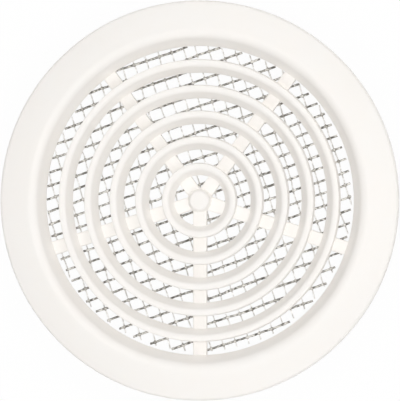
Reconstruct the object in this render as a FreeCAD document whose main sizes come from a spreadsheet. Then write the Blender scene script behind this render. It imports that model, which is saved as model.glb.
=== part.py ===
# Round vent cover: a moulded grille with a collar for a round hole, and a wire screen behind it.
# Frame: +Z points out of the wall, the origin is on the grille's axis in the plane of the wall,
# and one spoke points along -Y. All lengths are in millimetres, all angles in degrees.
import FreeCAD, Part
import os
import Sketcher
from FreeCAD import Placement, Rotation, Vector

SIZES = [
    ("flange_diameter", 125.0, "outside of the flange"),
    ("flange_wall", 1.6, "thickness of the flange and the funnel"),
    ("face_level", 0.5, "height of the spokes' front above the wall's plane"),
    ("rim_height", 3.1, "height of the flange's outer edge above the wall's plane"),
    ("rim_wall", 1.8, "thickness of the flange's outer edge"),
    ("rim_chamfer", 0.6, "chamfer of the flange's outer edge"),
    ("opening_diameter", 96.5, "free opening inside the funnel"),
    ("funnel_run", 2.98, "how far the funnel widens towards the front"),
    ("funnel_height", 4.7, "height of the funnel above the spokes' front"),
    ("crest_land", 3.0, "width of the flat crest between funnel and flange"),
    ("collar_wall", 2.5, "thickness of the collar at the funnel's foot"),
    ("collar_taper", 1.3, "how much thinner the collar's wall is at its end"),
    ("collar_length", 8.0, "length of the collar behind the wall's plane"),
    ("collar_lead", 0.8, "chamfer at the collar's end"),
    ("ring_count", 5, "number of rings in the opening"),
    ("first_ring_radius", 7.9, "inner radius of the smallest ring"),
    ("ring_pitch", 8.01, "spacing of the rings"),
    ("ring_width", 4.25, "width of a ring at its root"),
    ("ring_height", 3.6, "height of a ring in front of the spokes"),
    ("ring_land", 2.1, "width of a ring's top, up to the sharp corner"),
    ("ring_root", 0.3, "depth of a ring's foot in the spokes"),
    ("ring_chamfer", 0.5, "chamfer between a ring's slope and its top"),
    ("spoke_count", 5, "number of spokes"),
    ("spoke_width", 4.3, "width of a spoke"),
    ("spoke_depth", 2.4, "thickness of a spoke"),
    ("hub_diameter", 6.6, "diameter of the hub"),
    ("hub_height", 3.0, "height of the hub in front of the spokes"),
    ("hub_chamfer", 0.4, "chamfer of the hub's edge"),
    ("nub_reach", 1.5, "how far a retaining nub stands into the opening"),
    ("nub_width", 3.2, "width of a retaining nub"),
    ("nub_tip", 0.6, "height of a retaining nub's tip"),
    ("nub_ramp", 1.6, "height of a retaining nub's ramp"),
    ("nub_clearance", 0.15, "free height between the screen and a nub"),
    ("warp_wire_diameter", 0.7, "diameter of the screen's warp wires"),
    ("weft_wire_diameter", 0.4, "diameter of the screen's weft wires"),
    ("screen_slack", 0.4, "how much smaller than the opening the screen is, in radius"),
    ("screen_shift_x", -0.6, "how far the screen lies off the axis along X"),
    ("screen_shift_y", 0.5, "how far the screen lies off the axis along Y"),
    ("shortest_wire", 9.0, "length under which no wire is left at the screen's edge"),
    ("warp_pitch", 3.83, "spacing of the warp wires"),
    ("warp_turn", 19.25, "direction of the warp wires, from +X"),
    ("warp_start", 0.36, "distance of the first warp wire from the screen's middle"),
    ("weft_pitch", 3.98, "spacing of the weft wires"),
    ("weft_turn", 107.75, "direction of the weft wires, from +X"),
    ("weft_start", -1.26, "distance of the first weft wire from the screen's middle"),
]

# Lengths that several features share, worked out from the sizes above.
OPENING = "dim.opening_diameter / 2"
FLANGE = "dim.flange_diameter / 2"
COLLAR = f"({OPENING} + dim.collar_wall)"
SCREEN = f"({OPENING} - dim.screen_slack)"
CREST = "(dim.face_level + dim.funnel_height)"
SPOKE_BACK = "(dim.face_level - dim.spoke_depth)"
SCREEN_DEPTH = "(dim.warp_wire_diameter + dim.weft_wire_diameter)"
SCREEN_BACK = f"({SPOKE_BACK} - {SCREEN_DEPTH})"

# The ends of a sketch line, and the sketch's own origin.
START = 1
END = 2
SKETCH_ORIGIN = -1

# A wire is so thin that eight flat sides stand for its round section.
# The screen is cut round with shears, in short straight cuts.
WIRE_SIDES = 8
SCREEN_SIDES = 48


def make_sheet(doc):
    sheet = doc.addObject("Spreadsheet::Sheet", "dim")
    for row, (alias, value, meaning) in enumerate(SIZES, start=1):
        sheet.set(f"A{row}", meaning)
        sheet.set(f"B{row}", str(value))
        sheet.setAlias(f"B{row}", alias)
    doc.recompute()
    return sheet


def value_of(owner, expression):
    return float(owner.evalExpression(expression))


def new_sketch(body, name, plane):
    sketch = body.newObject("Sketcher::SketchObject", name)
    support = next(item for item in body.Origin.OriginFeatures if item.Role == plane)
    sketch.AttachmentSupport = [(support, "")]
    sketch.MapMode = "FlatFace"
    return sketch


def bind(sketch, name, expression, kind, *geometry):
    index = sketch.addConstraint(Sketcher.Constraint(kind, *geometry, value_of(sketch, expression)))
    sketch.renameConstraint(index, name)
    sketch.setExpression(f"Constraints.{name}", expression)


# Draws a closed outline through named corners, each given as (across, up).
# A corner's place in the set of free ones is left to the constraints that the caller adds.
def draw_outline(sketch, corners, free=()):
    names = list(corners)
    points = []
    for across, up in corners.values():
        points.append(Vector(value_of(sketch, across), value_of(sketch, up), 0))
    for start, end in zip(points, points[1:] + points[:1]):
        sketch.addGeometry(Part.LineSegment(start, end), False)
    for line in range(len(names)):
        following = (line + 1) % len(names)
        sketch.addConstraint(Sketcher.Constraint("Coincident", line, END, following, START))
    for line, name in enumerate(names):
        across, up = corners[name]
        if (name, "across") not in free:
            bind(sketch, f"{name}_across", across, "DistanceX", SKETCH_ORIGIN, START, line, START)
        if (name, "up") not in free:
            bind(sketch, f"{name}_up", up, "DistanceY", SKETCH_ORIGIN, START, line, START)


def add_revolution(body, name, sketch):
    turned = body.newObject("PartDesign::Revolution", name)
    turned.Profile = sketch
    turned.ReferenceAxis = (sketch, ["V_Axis"])
    turned.Angle = 360
    body.Document.recompute()
    return turned


def add_pad(body, name, sketch, length, midplane=False):
    pad = body.newObject("PartDesign::Pad", name)
    pad.Profile = sketch
    pad.Midplane = midplane
    pad.setExpression("Length", length)
    body.Document.recompute()
    return pad


# Repeats a feature round the grille's axis, once for each spoke.
def repeat_per_spoke(body, name, feature):
    pattern = body.newObject("PartDesign::PolarPattern", name)
    pattern.Originals = [feature]
    axis = next(item for item in body.Origin.OriginFeatures if item.Role == "Z_Axis")
    pattern.Axis = (axis, [""])
    pattern.Angle = 360
    pattern.setExpression("Occurrences", "dim.spoke_count")
    body.Tip = pattern
    body.Document.recompute()


# The collar, the funnel and the flange are one turned shell, hollow behind. The collar widens inside
# towards its end, so its wall doesn't show from the front.
def add_shell(body):
    sketch = new_sketch(body, "shell_outline", "XZ_Plane")
    crest_inside = f"{OPENING} + dim.funnel_run"
    crest_outside = f"{crest_inside} + dim.crest_land"
    corners = {
        "collar_end_inside": (f"{OPENING} + dim.collar_taper", "-dim.collar_length"),
        "collar_end_outside": (f"{COLLAR} - dim.collar_lead", "-dim.collar_length"),
        "collar_lead_top": (COLLAR, "dim.collar_lead - dim.collar_length"),
        "funnel_foot_behind": (COLLAR, "0"),
        "crest_behind": (f"{crest_inside} + dim.crest_land / 2", f"{CREST} - dim.flange_wall"),
        "rim_inside": (f"{FLANGE} - dim.rim_wall", "dim.rim_height / 2"),
        "rim_foot_inside": (f"{FLANGE} - dim.rim_wall", "0"),
        "rim_foot": (FLANGE, "0"),
        "rim_side_top": (FLANGE, "dim.rim_height - dim.rim_chamfer"),
        "flange_edge": (f"{FLANGE} - dim.rim_chamfer", "dim.rim_height"),
        "crest_outside": (crest_outside, CREST),
        "crest_inside": (crest_inside, CREST),
        "funnel_foot": (OPENING, "dim.face_level"),
    }
    free = {("funnel_foot_behind", "up"), ("crest_behind", "across"), ("crest_behind", "up"),
            ("rim_inside", "up")}
    draw_outline(sketch, corners, free)
    line = {name: index for index, name in enumerate(corners)}
    funnel_behind = line["funnel_foot_behind"]
    flange_behind = line["crest_behind"]
    funnel_front = line["crest_inside"]
    flange_front = line["flange_edge"]
    sketch.addConstraint(Sketcher.Constraint("Parallel", funnel_behind, funnel_front))
    sketch.addConstraint(Sketcher.Constraint("Parallel", flange_behind, flange_front))
    bind(sketch, "funnel_wall", "dim.flange_wall", "Distance", flange_behind, START, funnel_front)
    bind(sketch, "flange_wall", "dim.flange_wall", "Distance", flange_behind, START, flange_front)
    add_revolution(body, "shell", sketch)


# Flat spokes run behind the rings from the hub into the funnel's foot.
def add_spokes(body):
    sketch = new_sketch(body, "spoke_section", "XZ_Plane")
    half_width = "dim.spoke_width / 2"
    corners = {
        "back_left": (f"-{half_width}", SPOKE_BACK),
        "back_right": (half_width, SPOKE_BACK),
        "front_right": (half_width, "dim.face_level"),
        "front_left": (f"-{half_width}", "dim.face_level"),
    }
    draw_outline(sketch, corners)
    spoke = add_pad(body, "spoke", sketch, f"{OPENING} + dim.collar_wall / 2")
    repeat_per_spoke(body, "spokes", spoke)


def add_hub(body):
    sketch = new_sketch(body, "hub_outline", "XZ_Plane")
    edge = "dim.hub_diameter / 2"
    front = "dim.face_level + dim.hub_height"
    corners = {
        "back_middle": ("0", SPOKE_BACK),
        "back_edge": (edge, SPOKE_BACK),
        "side_top": (edge, f"{front} - dim.hub_chamfer"),
        "front_edge": (f"{edge} - dim.hub_chamfer", front),
        "front_middle": ("0", front),
    }
    draw_outline(sketch, corners)
    add_revolution(body, "hub", sketch)


# Each ring slopes up from its inner edge to a narrow top, like the funnel round the opening.
def add_ring(body, number):
    sketch = new_sketch(body, f"ring_{number}_outline", "XZ_Plane")
    inside = f"dim.first_ring_radius + {number - 1} * dim.ring_pitch"
    outside = f"{inside} + dim.ring_width"
    root = "dim.face_level - dim.ring_root"
    top = "dim.face_level + dim.ring_height"
    slope_run = "(dim.ring_width - dim.ring_land)"
    slope_cut = f"dim.ring_chamfer * {slope_run} / (dim.ring_height + dim.ring_root)"
    corners = {
        "root_inside": (inside, root),
        "root_outside": (outside, root),
        "top_outside": (outside, top),
        "top_inside": (f"{inside} + {slope_run} + dim.ring_chamfer", top),
        "slope_top": (f"{inside} + {slope_run} - {slope_cut}", f"{top} - dim.ring_chamfer"),
    }
    draw_outline(sketch, corners)
    add_revolution(body, f"ring_{number}", sketch)


# A ramped nub behind each spoke's end holds the screen's edge against the spokes.
def add_nubs(body):
    sketch = new_sketch(body, "nub_outline", "YZ_Plane")
    wall = f"-({OPENING} + dim.collar_wall / 2)"
    tip = f"-({OPENING} - dim.nub_reach)"
    top = f"{SCREEN_BACK} - dim.nub_clearance"
    corners = {
        "top_at_wall": (wall, top),
        "top_at_tip": (tip, top),
        "tip_end": (tip, f"{top} - dim.nub_tip"),
        "ramp_end": (f"-{OPENING}", f"{top} - dim.nub_tip - dim.nub_ramp"),
        "ramp_in_wall": (wall, f"{top} - dim.nub_tip - dim.nub_ramp"),
    }
    draw_outline(sketch, corners)
    nub = add_pad(body, "nub", sketch, "dim.nub_width", midplane=True)
    repeat_per_spoke(body, "nubs", nub)


def make_cover(doc, sheet):
    body = doc.addObject("PartDesign::Body", "grille_cover")
    add_shell(body)
    add_spokes(body)
    add_hub(body)
    for number in range(1, int(sheet.ring_count) + 1):
        add_ring(body, number)
    add_nubs(body)
    return body


# One layer of the screen: a row of parallel wires, trimmed to the screen's round edge.
def make_wires(doc, label, layer, level):
    diameter = f"dim.{layer}_wire_diameter"
    pitch = f"dim.{layer}_pitch"
    start = f"dim.{layer}_start"
    reach = f"sqrt(pow({SCREEN}; 2) - pow(dim.shortest_wire / 2; 2))"
    below = f"floor(({reach} + {start}) / {pitch})"
    above = f"floor(({reach} - {start}) / {pitch})"

    wires = doc.addObject("PartDesign::Body", f"{layer}_row")
    sketch = new_sketch(wires, f"{layer}_section", "YZ_Plane")
    corner_radius = f"{diameter} / 2 / cos({180 / WIRE_SIDES})"
    corners = {}
    for number in range(WIRE_SIDES):
        angle = (number + 0.5) * 360 / WIRE_SIDES
        corners[f"corner_{number}"] = (f"{start} - {below} * {pitch} + {corner_radius} * cos({angle})",
                                       f"{level} + {corner_radius} * sin({angle})")
    draw_outline(sketch, corners)
    wire = add_pad(wires, f"{layer}_wire", sketch, f"2 * {OPENING}", midplane=True)
    row = wires.newObject("PartDesign::LinearPattern", f"{layer}_wires")
    row.Originals = [wire]
    row.Direction = (sketch, ["H_Axis"])
    row.Mode = "Spacing"
    row.setExpression("Offset", pitch)
    row.setExpression("Occurrences", f"{below} + {above} + 1")
    wires.Tip = row

    disc = doc.addObject("Part::Prism", f"{layer}_disc")
    disc.Polygon = SCREEN_SIDES
    disc.setExpression("Circumradius", SCREEN)
    disc.setExpression("Height", f"2 * {SCREEN_DEPTH}")
    disc.setExpression("Placement.Base.z", f"{SCREEN_BACK} - {SCREEN_DEPTH} / 2")
    wires.Placement = Placement(Vector(), Rotation(Vector(0, 0, 1), value_of(wires, f"dim.{layer}_turn")))
    wires.setExpression("Placement.Rotation.Angle", f"dim.{layer}_turn")
    for piece in (wires, disc):
        piece.setExpression("Placement.Base.x", "dim.screen_shift_x")
        piece.setExpression("Placement.Base.y", "dim.screen_shift_y")

    trimmed = doc.addObject("Part::Common", label)
    trimmed.Base = wires
    trimmed.Tool = disc
    doc.recompute()
    return trimmed


def check(doc, pieces):
    for item in doc.Objects:
        if "Invalid" in item.State or "Error" in item.State:
            raise RuntimeError(f"{item.Label} failed: {item.State}")
    for piece in pieces:
        if piece.Shape.isNull() or not piece.Shape.isValid():
            raise RuntimeError(f"{piece.Label} has no valid shape")


def main():
    doc = FreeCAD.newDocument("round_vent_cover")
    sheet = make_sheet(doc)
    pieces = [
        make_cover(doc, sheet),
        make_wires(doc, "screen_warp_wires", "warp", f"{SPOKE_BACK} - dim.warp_wire_diameter / 2"),
        make_wires(doc, "screen_weft_wires", "weft", f"{SCREEN_BACK} + dim.weft_wire_diameter / 2"),
    ]
    doc.recompute()
    check(doc, pieces)
    os.makedirs("parts", exist_ok=True)
    for piece in pieces:
        piece.Shape.exportStep(f"parts/{piece.Label}.step")
        box = piece.Shape.BoundBox
        print(piece.Label, len(piece.Shape.Solids), "solids", round(piece.Shape.Volume, 1), "mm3",
              [round(v, 2) for v in (box.XMin, box.YMin, box.ZMin, box.XMax, box.YMax, box.ZMax)])


main()
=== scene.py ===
import bpy
import math
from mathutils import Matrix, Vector


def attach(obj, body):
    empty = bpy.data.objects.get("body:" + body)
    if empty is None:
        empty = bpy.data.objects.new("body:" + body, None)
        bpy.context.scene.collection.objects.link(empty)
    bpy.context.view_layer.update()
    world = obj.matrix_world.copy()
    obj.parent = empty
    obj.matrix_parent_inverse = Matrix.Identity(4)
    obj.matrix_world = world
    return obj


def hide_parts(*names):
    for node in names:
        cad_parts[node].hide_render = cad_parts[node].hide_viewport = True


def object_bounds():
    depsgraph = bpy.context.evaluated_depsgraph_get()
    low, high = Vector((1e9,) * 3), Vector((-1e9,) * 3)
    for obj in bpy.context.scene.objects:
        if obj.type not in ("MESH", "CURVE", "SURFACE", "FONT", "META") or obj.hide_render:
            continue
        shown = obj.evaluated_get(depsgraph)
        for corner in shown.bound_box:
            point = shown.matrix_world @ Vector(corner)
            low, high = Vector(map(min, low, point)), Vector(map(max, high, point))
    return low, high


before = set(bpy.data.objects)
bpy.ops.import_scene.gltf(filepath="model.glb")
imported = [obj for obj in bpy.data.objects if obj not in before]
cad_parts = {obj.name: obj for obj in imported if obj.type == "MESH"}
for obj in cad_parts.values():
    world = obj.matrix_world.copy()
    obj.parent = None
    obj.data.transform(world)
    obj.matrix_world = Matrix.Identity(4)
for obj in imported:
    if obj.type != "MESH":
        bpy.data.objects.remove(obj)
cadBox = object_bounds()
mm = 0.001
nearby = 0.01 * mm        # points closer than this are in the same place
mergeReach = 0.001 * mm
print("frame loaded:", ", ".join(sorted(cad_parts)))

scene = bpy.context.scene
scene.view_settings.view_transform = "Standard"


# picking and modes

def pickOnly(piece):
    bpy.ops.object.select_all(action="DESELECT")
    piece.select_set(True)
    bpy.context.view_layer.objects.active = piece


def clearPicks(kind):  # no point, edge or face stays selected
    bpy.ops.object.mode_set(mode="EDIT")
    bpy.ops.mesh.select_mode(type=kind)
    bpy.ops.mesh.select_all(action="DESELECT")
    bpy.ops.object.mode_set(mode="OBJECT")


def pickVerts(piece, wanted):  # leaves the piece in edit mode with the wanted points selected
    clearPicks("VERT")
    for vert in piece.data.vertices:
        vert.select = wanted(vert.co)
    bpy.ops.object.mode_set(mode="EDIT")


def pickEdges(piece, wanted):  # the same for edges, by their two ends
    clearPicks("EDGE")
    for edge in piece.data.edges:
        edge.select = wanted(*[piece.data.vertices[end].co for end in edge.vertices])
    bpy.ops.object.mode_set(mode="EDIT")


def closeSkin():  # from edit mode: merges doubles, turns the faces outwards, goes back to object mode
    bpy.ops.mesh.select_all(action="SELECT")
    bpy.ops.mesh.remove_doubles(threshold=mergeReach)
    bpy.ops.mesh.normals_make_consistent(inside=False)
    bpy.ops.object.mode_set(mode="OBJECT")


def copyPiece(piece, name):
    twin = piece.copy()
    twin.data = piece.data.copy()
    twin.name = name
    scene.collection.objects.link(twin)
    return twin


# turned shapes: a section is walked in the XZ plane by extrude, its corners are rounded, then it is spun

def turnSection(name, corners, steps, closed=True):
    bpy.ops.object.select_all(action="DESELECT")
    bpy.ops.mesh.primitive_plane_add(size=mm)
    piece = bpy.context.object
    piece.name = name
    points = [Vector((across * mm, 0, up * mm)) for across, up, rounding in corners]
    bpy.ops.object.mode_set(mode="EDIT")
    bpy.ops.mesh.merge(type="CENTER")
    bpy.ops.transform.translate(value=points[0])
    route = points + points[:1] if closed else points
    for here, there in zip(route, route[1:]):
        bpy.ops.mesh.extrude_vertices_move(TRANSFORM_OT_translate={"value": there - here})
    bpy.ops.mesh.select_all(action="SELECT")
    bpy.ops.mesh.remove_doubles(threshold=mergeReach)
    if closed:
        bpy.ops.mesh.edge_face_add()
    bpy.ops.object.mode_set(mode="OBJECT")
    for point, (across, up, rounding) in zip(points, corners):
        if rounding:
            reach, bits = rounding
            pickVerts(piece, lambda co: (co - point).length < nearby)
            bpy.ops.mesh.bevel(offset=reach * mm, segments=bits, profile=0.5, affect="VERTICES")
            bpy.ops.object.mode_set(mode="OBJECT")
    bpy.ops.object.mode_set(mode="EDIT")
    bpy.ops.mesh.select_all(action="SELECT")
    if closed:
        bpy.ops.mesh.delete(type="ONLY_FACE")
        bpy.ops.mesh.select_all(action="SELECT")
    bpy.ops.mesh.spin(steps=steps, angle=math.tau, center=(0, 0, 0), axis=(0, 0, 1))
    closeSkin()
    return piece


# the moulded cover: shell, spokes, hub, rings and nubs, fused to one skin

cover = {                        # sizes in mm
    "steps": 192,                # facets round the axis
    "smooth": 32,                # degrees, edges that turn by more stay sharp
    "flangeRadius": 62.5,
    "rimHeight": 3.1,
    "rimWall": 1.8,
    "rimRound": (0.8, 5),        # a rounding's reach along the edges, and its bits
    "rimFootRound": (0.2, 2),
    "crest": (51.7, 5.95),       # where funnel and flange would meet
    "crestRound": (2.3, 9),
    "hollowFoot": 1.65,          # the hollow behind the flange: its height at the collar, crest and rim
    "hollowCrest": (52.3, 4.05),
    "hollowCrestRound": (1.0, 4),
    "hollowRim": 1.76,
    "hollowRound": (0.4, 3),
    "openingRadius": 48.25,
    "openingRound": (0.3, 3),
    "collarWall": 2.5,
    "collarTaper": 1.3,          # the collar widens inside towards its end
    "collarLength": 8.0,
    "collarLead": 0.8,
    "collarEndRound": (0.12, 2),
    "faceLevel": 0.5,            # front of the spokes above the wall's plane
    "rootDepth": 0.3,            # how deep rings and hub are rooted in the spokes
    "spokes": 5,
    "spokeWidth": 4.3,
    "spokeDepth": 2.4,
    "spokeRound": (0.35, 3),
    "hubSteps": 64,
    "hubRadius": 3.3,
    "hubHeight": 3.0,
    "hubRound": (1.0, 5),
    "hubFoot": (3.95, 1.0),      # radius and height of the soft foot between hub and spokes
    "hubFootRound": (0.6, 4),
    "rings": 5,
    "firstRing": 7.9,            # inner radius of the smallest ring
    "firstRingWidth": 3.9,       # it is a little narrower and lower than the others
    "firstRingHeight": 3.2,
    "ringPitch": 8.01,
    "ringWidth": 4.25,
    "ringHeight": 3.6,
    "ringLand": 1.93,
    "ringDraft": 0.2,
    "ringRound": (0.8, 5),
    "ringEdgeRound": (0.3, 3),
    "nubReach": 1.5,
    "nubWidth": 3.2,
    "nubTip": 0.6,
    "nubRamp": 1.6,
    "nubTop": -3.15,
}


def turnShell(c):
    outside = c["openingRadius"] + c["collarWall"]
    inRim = c["flangeRadius"] - c["rimWall"]
    return turnSection("moulding", [
        (c["openingRadius"] + c["collarTaper"], -c["collarLength"], c["collarEndRound"]),
        (outside - c["collarLead"], -c["collarLength"], c["collarEndRound"]),
        (outside, c["collarLead"] - c["collarLength"], None),
        (outside, c["hollowFoot"], c["hollowRound"]),
        (*c["hollowCrest"], c["hollowCrestRound"]),
        (inRim, c["hollowRim"], c["hollowRound"]),
        (inRim, 0, c["rimFootRound"]),
        (c["flangeRadius"], 0, c["rimFootRound"]),
        (c["flangeRadius"], c["rimHeight"], c["rimRound"]),
        (*c["crest"], c["crestRound"]),
        (c["openingRadius"], c["faceLevel"], c["openingRound"]),
    ], c["steps"])


def turnRing(c, number):
    inside = c["firstRing"] + number * c["ringPitch"]
    outside = inside + (c["ringWidth"] if number else c["firstRingWidth"])
    root = c["faceLevel"] - c["rootDepth"]
    top = c["faceLevel"] + (c["ringHeight"] if number else c["firstRingHeight"])
    return turnSection(f"ring{number}", [
        (inside, root, None),
        (outside, root, None),
        (outside - c["ringDraft"], top, c["ringEdgeRound"]),
        (outside - c["ringDraft"] - c["ringLand"], top, c["ringRound"]),
    ], c["steps"])


def turnHub(c):
    top = c["faceLevel"] + c["hubHeight"]
    bottom = c["faceLevel"] - c["spokeDepth"]
    footRadius, footHeight = c["hubFoot"]
    return turnSection("hub", [
        (0, bottom, None),
        (footRadius, bottom, None),
        (footRadius, c["faceLevel"] - c["rootDepth"], None),
        (c["hubRadius"], c["faceLevel"] + footHeight, c["hubFootRound"]),
        (c["hubRadius"], top, c["hubRound"]),
        (0, top, None),
    ], c["hubSteps"], closed=False)


def cutSpoke(c):
    length = c["openingRadius"] + c["collarWall"] / 2  # ends inside the collar's wall
    middle = (0, -length / 2 * mm, (c["faceLevel"] - c["spokeDepth"] / 2) * mm)
    bpy.ops.object.select_all(action="DESELECT")
    bpy.ops.mesh.primitive_cube_add(size=1, location=middle)
    spoke = bpy.context.object
    spoke.name = "spoke"
    spoke.scale = (c["spokeWidth"] * mm, length * mm, c["spokeDepth"] * mm)
    bpy.ops.object.transform_apply(location=True, rotation=True, scale=True)
    reach, bits = c["spokeRound"]
    pickEdges(spoke, lambda a, b: min(a.z, b.z) > 0 and abs(a.x - b.x) < nearby)  # the two long front edges
    bpy.ops.mesh.bevel(offset=reach * mm, segments=bits, affect="EDGES")
    closeSkin()
    return spoke


def cutNub(c):
    wall = -(c["openingRadius"] + c["collarWall"] / 2)
    tip = -(c["openingRadius"] - c["nubReach"])
    depth = c["nubTip"] + c["nubRamp"]
    middle = (0, (wall + tip) / 2 * mm, (c["nubTop"] - depth / 2) * mm)
    bpy.ops.object.select_all(action="DESELECT")
    bpy.ops.mesh.primitive_cube_add(size=1, location=middle)
    nub = bpy.context.object
    nub.name = "nub"
    nub.scale = (c["nubWidth"] * mm, (tip - wall) * mm, depth * mm)
    bpy.ops.object.transform_apply(location=True, rotation=True, scale=True)
    bpy.ops.object.mode_set(mode="EDIT")
    bpy.ops.mesh.select_all(action="SELECT")
    bpy.ops.mesh.bisect(  # the ramp that lets the screen snap in
        plane_co=(0, tip * mm, (c["nubTop"] - c["nubTip"]) * mm),
        plane_no=(0, c["nubRamp"], -c["nubReach"]), clear_outer=True, use_fill=True)
    closeSkin()
    return nub


def turnCopies(piece, count):  # copies round the axis, each with its own mesh
    made = [piece]
    for number in range(1, count):
        twin = copyPiece(piece, f"{piece.name}{number}")
        twin.rotation_euler.z = math.tau * number / count
        pickOnly(twin)
        bpy.ops.object.transform_apply(location=True, rotation=True, scale=True)
        made.append(twin)
    return made


def fuse(base, parts):
    bench = bpy.data.collections.new("bench")
    scene.collection.children.link(bench)
    for part in parts:
        bench.objects.link(part)
    pickOnly(base)
    union = base.modifiers.new("fuse", "BOOLEAN")
    union.operation = "UNION"
    union.operand_type = "COLLECTION"
    union.collection = bench
    union.solver = "EXACT"
    bpy.ops.object.modifier_apply(modifier=union.name)
    for part in parts:
        bpy.data.objects.remove(part)
    bpy.data.collections.remove(bench)


def buildCover(c):
    moulding = turnShell(c)
    parts = [turnHub(c)]
    parts += [turnRing(c, number) for number in range(c["rings"])]
    parts += turnCopies(cutSpoke(c), c["spokes"])
    parts += turnCopies(cutNub(c), c["spokes"])  # one nub behind each spoke
    fuse(moulding, parts)
    pickOnly(moulding)
    bpy.ops.object.mode_set(mode="EDIT")
    closeSkin()
    bpy.ops.object.shade_smooth_by_angle(angle=math.radians(c["smooth"]))
    print("cover:", len(moulding.data.polygons), "faces")
    return moulding


# the screen: two layers of wire dipped in zinc, which leaves a knot at each crossing

screen = {                       # sizes in mm, turns in degrees
    "sides": 10,                 # facets round a wire
    "bit": 0.45,                 # length of one straight bit of wire
    "smooth": 50,
    "radius": 47.85,
    "middle": (-0.6, 0.5),       # the mesh lies a little off the axis
    "level": -2.7,               # where the two layers touch
    "shortest": 9.0,             # no wire shorter than this is left at the edge
    "warp": {"wire": 0.7, "pitch": 3.83, "turn": 19.25, "start": 0.36, "layer": 1},
    "weft": {"wire": 0.4, "pitch": 3.98, "turn": 107.75, "start": -1.26, "layer": -1},
    "knot": (0.7, 0.6, -2.5),    # zinc knot's radius across and up, and its level
    "knotFacets": (8, 6),        # round it and up
    "knotWaist": 0.8,            # how far it is drawn in between the wires
    "sway": {"X": (13.0, 1.6), "Y": (17.0, 0.95)},  # the mesh's uneven run: spread and strength
    "lumps": (1.3, 0.14),        # uneven zinc: spread and strength
}


def rowPlaces(s, own):  # distances of a layer's wires from the mesh's middle
    reach = math.sqrt(s["radius"] ** 2 - (s["shortest"] / 2) ** 2)
    lowest = math.ceil((-reach - own["start"]) / own["pitch"])
    highest = math.floor((reach - own["start"]) / own["pitch"])
    return [own["start"] + number * own["pitch"] for number in range(lowest, highest + 1)]


def meshPlace(s, turn, along, aside, up):  # along and beside a wire through the mesh's middle, in metres
    x, y = s["middle"]
    return ((x + along * math.cos(turn) - aside * math.sin(turn)) * mm,
            (y + along * math.sin(turn) + aside * math.cos(turn)) * mm, up * mm)


def layWire(s, own, aside):
    length = 2 * math.sqrt(s["radius"] ** 2 - aside ** 2)
    turn = math.radians(own["turn"])
    place = meshPlace(s, turn, 0, aside, s["level"] + own["layer"] * own["wire"] / 2)
    bpy.ops.object.select_all(action="DESELECT")
    bpy.ops.mesh.primitive_cylinder_add(vertices=s["sides"], radius=own["wire"] / 2 * mm, depth=length * mm,
                                        location=place, rotation=(0, math.pi / 2, turn))
    wire = bpy.context.object
    fineCuts = 2  # a second go, since one makes a hundred cuts at most
    for cuts in (round(length / s["bit"] / (fineCuts + 1)), fineCuts):
        pickEdges(wire, lambda a, b: (a - b).xy.length < nearby)  # along the wire, upright in its own mesh
        bpy.ops.mesh.subdivide(number_cuts=cuts)
        bpy.ops.object.mode_set(mode="OBJECT")
    return wire


def dropKnots(s):
    across, up, level = s["knot"]
    segments, rings = s["knotFacets"]
    bpy.ops.object.select_all(action="DESELECT")
    bpy.ops.mesh.primitive_uv_sphere_add(segments=segments, ring_count=rings, radius=across * mm)
    knot = bpy.context.object
    pickVerts(knot, lambda co: min(abs(co.x), abs(co.y)) > nearby)  # between the wires' directions
    bpy.ops.transform.resize(value=(s["knotWaist"], s["knotWaist"], 1))
    bpy.ops.mesh.select_all(action="SELECT")
    bpy.ops.transform.resize(value=(1, 1, up / across))
    bpy.ops.object.mode_set(mode="OBJECT")
    turn = math.radians(s["warp"]["turn"])
    lean = math.radians(s["weft"]["turn"]) - turn
    knots = []
    for aside in rowPlaces(s, s["warp"]):
        for other in rowPlaces(s, s["weft"]):
            along = (aside * math.cos(lean) - other) / math.sin(lean)
            if math.hypot(along, aside) < s["radius"] - across:
                twin = copyPiece(knot, "knot")
                twin.location = meshPlace(s, turn, along, aside, level)
                twin.rotation_euler.z = turn
                knots.append(twin)
    bpy.data.objects.remove(knot)
    return knots


def joinRows(s, name, pieces):
    pickOnly(pieces[0])
    for piece in pieces:
        piece.select_set(True)
    bpy.ops.object.join()
    rows = bpy.context.object
    rows.name = name
    bpy.ops.object.transform_apply(location=True, rotation=True, scale=True)
    waves = [(axis, *spec) for axis, spec in s["sway"].items()] + [("NORMAL", *s["lumps"])]
    for direction, spread, strength in waves:
        cloud = bpy.data.textures.new("cloud" + direction, "CLOUDS")
        cloud.noise_scale = spread * mm
        wave = rows.modifiers.new("wave", "DISPLACE")
        wave.texture = cloud
        wave.texture_coords = "GLOBAL"
        wave.direction = direction
        wave.strength = strength * mm
        bpy.ops.object.modifier_apply(modifier=wave.name)
    bpy.ops.object.shade_smooth_by_angle(angle=math.radians(s["smooth"]))
    print(name + ":", len(pieces), "bits,", len(rows.data.polygons), "faces")
    return rows


def layRows(s, layer):
    wires = [layWire(s, s[layer], aside) for aside in rowPlaces(s, s[layer])]
    return joinRows(s, layer + "_wires", wires)


# finishes

def linear(code):  # sRGB hex to linear colour
    parts = [int(code[i:i + 2], 16) / 255 for i in (1, 3, 5)]
    return [p / 12.92 if p <= 0.04045 else ((p + 0.055) / 1.055) ** 2.4 for p in parts] + [1]


def addNode(tree, kind, settings=None, links=None):  # keys are socket names or numbers, or settings
    node = tree.nodes.new(kind)
    for key, value in (settings or {}).items():
        if key == "stops":
            for element, (place, code) in zip(node.color_ramp.elements, value):
                element.position = place
                element.color = linear(code)
        elif isinstance(key, int) or key in node.inputs:
            node.inputs[key].default_value = value
        else:
            setattr(node, key, value)
    for key, source in (links or {}).items():
        tree.links.new(source, node.inputs[key])
    return node


def newFinish(name):
    finish = bpy.data.materials.new(name)
    finish.use_nodes = True
    finish.node_tree.nodes.clear()
    return finish, finish.node_tree


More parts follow.
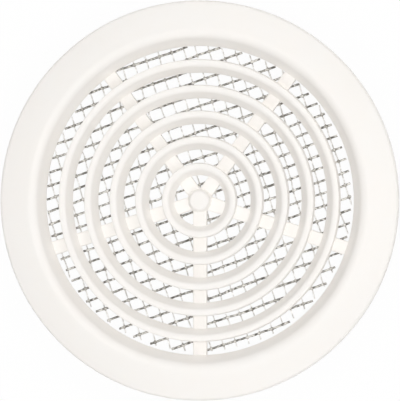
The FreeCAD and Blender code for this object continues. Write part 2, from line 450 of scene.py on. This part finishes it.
plasticLook = {
    "tints": ("#f8f4ef", "#f8f5f1"),
    "rough": (0.42, 0.5),
    "cloudSize": 9.0,            # mm
    "cloudRange": (0.3, 0.7),    # the stretch of the noise from the first tint to the second
    "grainSize": 0.35,           # mm, spark-eroded grain, drawn coarse enough to show
    "grainDepth": 0.02,
}


# Injection-moulded ABS, satin: warm white, soft broad gloss, a faint cloudiness from the melt's flow.
def satinPlastic(look):
    finish, tree = newFinish("satin_white_ABS")
    low, high = look["cloudRange"]
    roughLow, roughHigh = look["rough"]
    place = addNode(tree, "ShaderNodeTexCoord").outputs["Object"]
    cloud = addNode(tree, "ShaderNodeTexNoise", {
        "Scale": 1 / (look["cloudSize"] * mm), "Detail": 3, "Roughness": 0.5}, {"Vector": place})
    tint = addNode(tree, "ShaderNodeValToRGB", {"stops": list(zip((low, high), look["tints"]))},
                   {"Fac": cloud.outputs["Fac"]})
    gloss = addNode(tree, "ShaderNodeMapRange", {
        "From Min": low, "From Max": high, "To Min": roughLow, "To Max": roughHigh},
        {"Value": cloud.outputs["Fac"]})
    grain = addNode(tree, "ShaderNodeTexNoise", {"Scale": 1 / (look["grainSize"] * mm), "Detail": 2},
                    {"Vector": place})
    bump = addNode(tree, "ShaderNodeBump", {"Strength": 0.08, "Distance": look["grainDepth"] * mm},
                   {"Height": grain.outputs["Fac"]})
    shader = addNode(tree, "ShaderNodeBsdfPrincipled", {"IOR": 1.53}, {
        "Base Color": tint.outputs["Color"], "Roughness": gloss.outputs["Result"],
        "Normal": bump.outputs["Normal"]})
    addNode(tree, "ShaderNodeOutputMaterial", links={"Surface": shader.outputs["BSDF"]})
    return finish


zincLook = {
    "kinds": {                   # dull and bright tint, and the dull one's roughness
        # one galvanised wire in two copies: the warp's tints are painted shade, the weft's tints are
        # painted highlight
        "galvanised_wire_painted_shade": ("#807d77", "#e4e2dd", 0.75),
        "galvanised_wire_painted_highlight": ("#d8d6d2", "#f8f7f5", 0.65),
        "dipped_zinc": ("#b2afa9", "#e6e4e0", 0.75),
    },
    "glossier": 0.15,            # how much less rough the bright patches are
    "spangleSize": 1.0,          # mm
    "spangleRange": (0.38, 0.62),  # the stretch of the noise from dull to bright
    "pitSize": 0.25,
    "pitDepth": 0.03,
}


# Hot-dip galvanised steel: grey zinc in small dull and bright patches, with a broken soft gloss.
def galvanisedSteel(look, name):
    finish, tree = newFinish(name)
    dull, bright, rough = look["kinds"][name]
    low, high = look["spangleRange"]
    place = addNode(tree, "ShaderNodeTexCoord").outputs["Object"]
    spangle = addNode(tree, "ShaderNodeTexNoise", {
        "Scale": 1 / (look["spangleSize"] * mm), "Detail": 2, "Roughness": 0.5}, {"Vector": place})
    tint = addNode(tree, "ShaderNodeValToRGB", {"stops": [(low, dull), (high, bright)]},
                   {"Fac": spangle.outputs["Fac"]})
    gloss = addNode(tree, "ShaderNodeMapRange", {
        "From Min": low, "From Max": high, "To Min": rough, "To Max": rough - look["glossier"]},
        {"Value": spangle.outputs["Fac"]})
    pits = addNode(tree, "ShaderNodeTexNoise", {"Scale": 1 / (look["pitSize"] * mm), "Detail": 2},
                   {"Vector": place})
    bump = addNode(tree, "ShaderNodeBump", {"Strength": 0.2, "Distance": look["pitDepth"] * mm},
                   {"Height": pits.outputs["Fac"]})
    shader = addNode(tree, "ShaderNodeBsdfPrincipled", {"Metallic": 1.0}, {
        "Base Color": tint.outputs["Color"], "Roughness": gloss.outputs["Result"],
        "Normal": bump.outputs["Normal"]})
    addNode(tree, "ShaderNodeOutputMaterial", links={"Surface": shader.outputs["BSDF"]})
    return finish


def dress(piece, finish):
    piece.data.materials.clear()
    piece.data.materials.append(finish)


# studio: floor, lamps, world and camera

stage = {
    "floorSize": 12.0,           # metres
    "floorTint": "#f6f6f5",
    "whiteShare": 0.97,          # share of plain white in what the camera sees of the floor
    "world": (0.1, 0.7),         # as light on the object, and as the pale backdrop that is seen
    "lampSize": 0.8,             # metres, square
    "lamps": {                   # place in metres, power in watts
        "frontLamp": ((0.15, 0.0, 1.5), 4.8),
        "rightLamp": ((0.8, 0.0, 0.75), 3.85),
        "leftLamp": ((-0.8, 0.0, 0.75), 2.4),
        "lowLamp": ((0.0, -0.8, 0.75), 4.2),
        "topLamp": ((0.0, 0.8, 0.75), 3.9),
    },
}
view = {
    "imageSize": (400, 401),
    "pixel": 0.3125,             # mm at the object in one pixel of the image
    "lean": 6.0,                 # degrees off the axis, towards +X
    "distance": 3.0,             # metres
}


def seenRays(tree):  # 1 for what the camera sees, straight, mirrored or through glass, 0 for plain light
    path = addNode(tree, "ShaderNodeLightPath").outputs
    seen = addNode(tree, "ShaderNodeMath", {"operation": "ADD"},
                   {0: path["Is Camera Ray"], 1: path["Is Glossy Ray"]})
    through = addNode(tree, "ShaderNodeMath", {"operation": "ADD", "use_clamp": True},
                      {0: seen.outputs["Value"], 1: path["Is Transmission Ray"]})
    return through.outputs["Value"]


# Matt white studio board: white to the camera, with a trace of the object's shadow, clear from below.
def studioBoard():
    finish, tree = newFinish("matt_white_board")
    share = addNode(tree, "ShaderNodeMath", {"operation": "MULTIPLY", 1: stage["whiteShare"]},
                    {0: seenRays(tree)})
    board = addNode(tree, "ShaderNodeBsdfDiffuse", {"Color": linear(stage["floorTint"])})
    white = addNode(tree, "ShaderNodeEmission", {"Strength": 1.0})
    front = addNode(tree, "ShaderNodeMixShader", links={
        "Fac": share.outputs["Value"], 1: board.outputs["BSDF"], 2: white.outputs["Emission"]})
    side = addNode(tree, "ShaderNodeNewGeometry").outputs["Backfacing"]
    clear = addNode(tree, "ShaderNodeBsdfTransparent")
    sheet = addNode(tree, "ShaderNodeMixShader", links={
        "Fac": side, 1: front.outputs["Shader"], 2: clear.outputs["BSDF"]})
    addNode(tree, "ShaderNodeOutputMaterial", links={"Surface": sheet.outputs["Shader"]})
    return finish


def layFloor():
    bpy.ops.object.select_all(action="DESELECT")
    bpy.ops.mesh.primitive_plane_add(size=stage["floorSize"], location=(0, 0, cadBox[0].z))
    floor = bpy.context.object
    floor.name = "floor"
    bpy.ops.object.transform_apply(location=True, rotation=True, scale=True)
    dress(floor, studioBoard())


def addLamp(name, place, power):
    x, y, z = place
    turn = (-math.asin(y / Vector(place).length), math.atan2(x, z), 0)  # faces the origin
    bpy.ops.object.light_add(type="AREA", location=place, rotation=turn)
    lamp = bpy.context.object
    lamp.name = name
    lamp.data.size = stage["lampSize"]
    lamp.data.energy = power


def lightWorld():
    world = bpy.data.worlds.new("studio")
    world.use_nodes = True
    scene.world = world
    tree = world.node_tree
    tree.nodes.clear()
    light, backdrop = stage["world"]
    strength = addNode(tree, "ShaderNodeMapRange", {"To Min": light, "To Max": backdrop},
                       {"Value": seenRays(tree)})
    glow = addNode(tree, "ShaderNodeBackground", {"Color": (1, 1, 1, 1)},
                   {"Strength": strength.outputs["Result"]})
    addNode(tree, "ShaderNodeOutputWorld", links={"Surface": glow.outputs["Background"]})


def setStage():
    layFloor()
    for name, (place, power) in stage["lamps"].items():
        addLamp(name, place, power)
    lightWorld()
    print("stage set:", len(stage["lamps"]), "lamps")


def setCamera():
    lean = math.radians(view["lean"])
    away = Vector((math.sin(lean), 0, math.cos(lean))) * view["distance"]
    bpy.ops.object.camera_add(location=away, rotation=(0, lean, 0))
    camera = bpy.context.object
    frameHeight = max(view["imageSize"]) * view["pixel"] * mm
    camera.data.lens = camera.data.sensor_width * view["distance"] / frameHeight
    scene.camera = camera
    print("camera: lens", round(camera.data.lens), "mm")


# build, dress and attach, then set the stage and camera

moulding = buildCover(cover)
warp = layRows(screen, "warp")
weft = layRows(screen, "weft")
knots = joinRows(screen, "zinc_knots", dropKnots(screen))
for piece, node, slot, finish in (
        (moulding, "grille_cover", "white_plastic", satinPlastic(plasticLook)),
        # the warp wires wear painted shade and the weft wires painted highlight, through their finishes
        (warp, "screen_warp_wires", "screen_wire", galvanisedSteel(zincLook, "galvanised_wire_painted_shade")),
        (weft, "screen_weft_wires", "screen_wire", galvanisedSteel(zincLook, "galvanised_wire_painted_highlight")),
        (knots, None, "screen_wire", galvanisedSteel(zincLook, "dipped_zinc"))):
    dress(piece, finish)
    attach(piece, "root")
    if node:
        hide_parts(node)
    print("dressed:", piece.name, "in", finish.name)
setStage()
setCamera()
